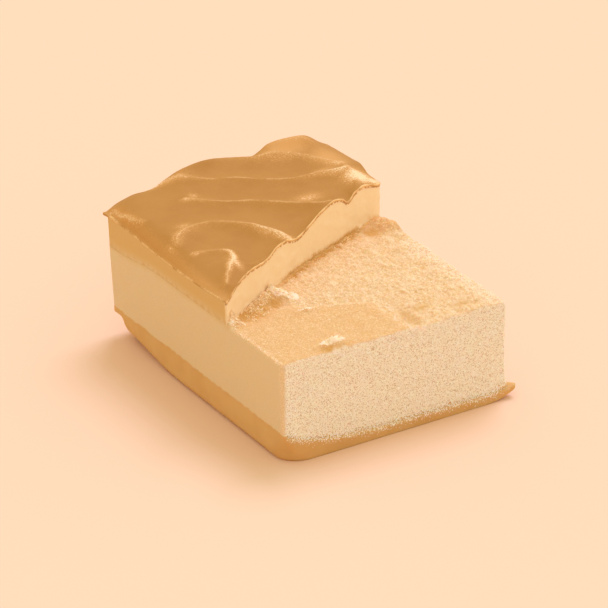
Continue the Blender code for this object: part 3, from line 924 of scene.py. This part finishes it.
def crumbFinish():
    f = Finish("looseCrumbFinish")
    colour = f.mix(f.mask("tone").step(0.0, 1.0), crumbs["dark"], crumbs["light"])
    # painted warm light in the creases between the crumbs
    colour = f.mix(f.nook(1.2) * 0.35, colour, spongeColours["nook"])
    f.set(BaseColor=colour, Roughness=0.92, SpecularIORLevel=0.15)
    return f.material


def crumbSpots(dice):
    s, spots = crumbs, []
    for x1, y1, x2, y2, wide, tall, paleness, count in s["heaps"]:
        for _ in range(count):
            along, off = dice.random(), dice.gauss(0.0, s["scatter"])
            rise = tall * math.exp(-4 * off * off) * dice.random()
            x = blend(x1, x2, along) + wide * dice.gauss(0.0, s["scatter"])
            x = min(max(x, block["left"] - 0.4), block["right"] - 0.4)
            tone = paleness + dice.uniform(-s["toneSpread"], s["toneSpread"])
            spots.append((x, blend(y1, y2, along) + wide * off, rise, tone))
    x, y, rise, tones = np.array(spots).T
    y = np.clip(y, block["front"] + s["clearOfEdge"], tearY(x) - s["clearOfEdge"])
    z = seatHeight(x, y) + bareTop(x, y)[0] + rise - s["sunk"] * s["sizes"][0]
    return zip(x + planShift[0], y + planShift[1], z, tones)


def makeCrumbs():
    s, dice = crumbs, random.Random(crumbs["seed"])
    bm = bmesh.new()
    tones = []
    for *spot, tone in crumbSpots(dice):
        size = blend(*s["sizes"], dice.random() ** 2)
        turn = Matrix.Rotation(dice.uniform(0.0, math.tau), 3, "Z").to_4x4()
        shape = Matrix.Diagonal([size * dice.uniform(*s["squash"]) for _ in range(3)]).to_4x4()
        made = bmesh.ops.create_icosphere(
            bm, subdivisions=1, radius=1.0, matrix=Matrix.Translation(spot) @ turn @ shape)
        for vert in made["verts"]:
            vert.co += Vector([dice.uniform(-1, 1) for _ in range(3)]) * s["jagged"] * size
            tones.append(tone)
    bmesh.ops.scale(bm, verts=bm.verts, vec=(mm, mm, mm))
    piece = newPiece("looseCrumbs", bm, "sponge_block", crumbFinish())
    piece.data.shade_flat()
    writeMasks(piece.data, {"tone": tones})


makeCrumbs()
print("crumbs made")


studio = {
    "floorSize": 12.0, "floorColour": paint(241, 203, 171),
    "skyColour": (1.0, 0.96, 0.77), "skyStrength": 0.94,
    "keyAzimuth": 65.0,  # degrees behind the view's right-hand side
    "keyElevation": 59.0, "keySpread": 30.0,
    "keyStrength": 1.12, "keyColour": (0.99, 1.09, 1.69),
}
photoCamera = {
    "azimuth": -32.24, "elevation": 26.73, "distance": 875.3, "aimHeight": 14.73,
    "lens": 200.0, "sensor": 36.0,
    "shiftX": -1.94 / 608, "shiftY": 10.92 / 608,  # pixels over the picture's width
}


def makeStudio():
    s = studio
    bm = bmesh.new()
    bmesh.ops.create_grid(bm, x_segments=1, y_segments=1, size=s["floorSize"] / 2)
    mesh = bpy.data.meshes.new("floor")
    bm.to_mesh(mesh)
    bm.free()
    floor = bpy.data.objects.new("floor", mesh)
    bpy.context.scene.collection.objects.link(floor)
    paper = Finish("floorFinish")
    paper.set(BaseColor=s["floorColour"], Roughness=1.0, SpecularIORLevel=0.0)
    mesh.materials.append(paper.material)
    world = bpy.data.worlds.new("studio")
    bpy.context.scene.world = world
    world.use_nodes = True
    sky = world.node_tree.nodes["Background"]
    sky.inputs["Color"].default_value = (*s["skyColour"], 1.0)
    sky.inputs["Strength"].default_value = s["skyStrength"]
    turn = math.radians(photoCamera["azimuth"] + s["keyAzimuth"])
    rise = math.radians(s["keyElevation"])
    level = math.cos(rise)
    toKey = Vector((math.cos(turn) * level, math.sin(turn) * level, math.sin(rise)))
    key = bpy.data.lights.new("key", "SUN")
    key.energy, key.angle, key.color = s["keyStrength"], math.radians(s["keySpread"]), s["keyColour"]
    lamp = bpy.data.objects.new("key", key)
    bpy.context.scene.collection.objects.link(lamp)
    lamp.rotation_euler = toKey.to_track_quat("Z", "Y").to_euler()
    bpy.context.scene.view_settings.view_transform = "Standard"


def makeCamera():
    c = photoCamera
    side, rise = math.radians(c["azimuth"]), math.radians(c["elevation"])
    level = math.cos(rise)
    back = Vector((math.sin(side) * level, -math.cos(side) * level, math.sin(rise)))
    right = Vector((math.cos(side), math.sin(side), 0.0))
    up = back.cross(right)
    aim = Vector((planShift[0], planShift[1], c["aimHeight"]))
    camera = bpy.data.cameras.new("photoCamera")
    camera.lens, camera.sensor_width = c["lens"], c["sensor"]
    camera.shift_x, camera.shift_y = c["shiftX"], c["shiftY"]
    holder = bpy.data.objects.new("photoCamera", camera)
    bpy.context.scene.collection.objects.link(holder)
    turned = Matrix((right, up, back)).transposed().to_4x4()
    holder.matrix_world = Matrix.Translation((aim + back * c["distance"]) * mm) @ turned
    bpy.context.scene.camera = holder


makeStudio()
makeCamera()
print("studio and camera made")
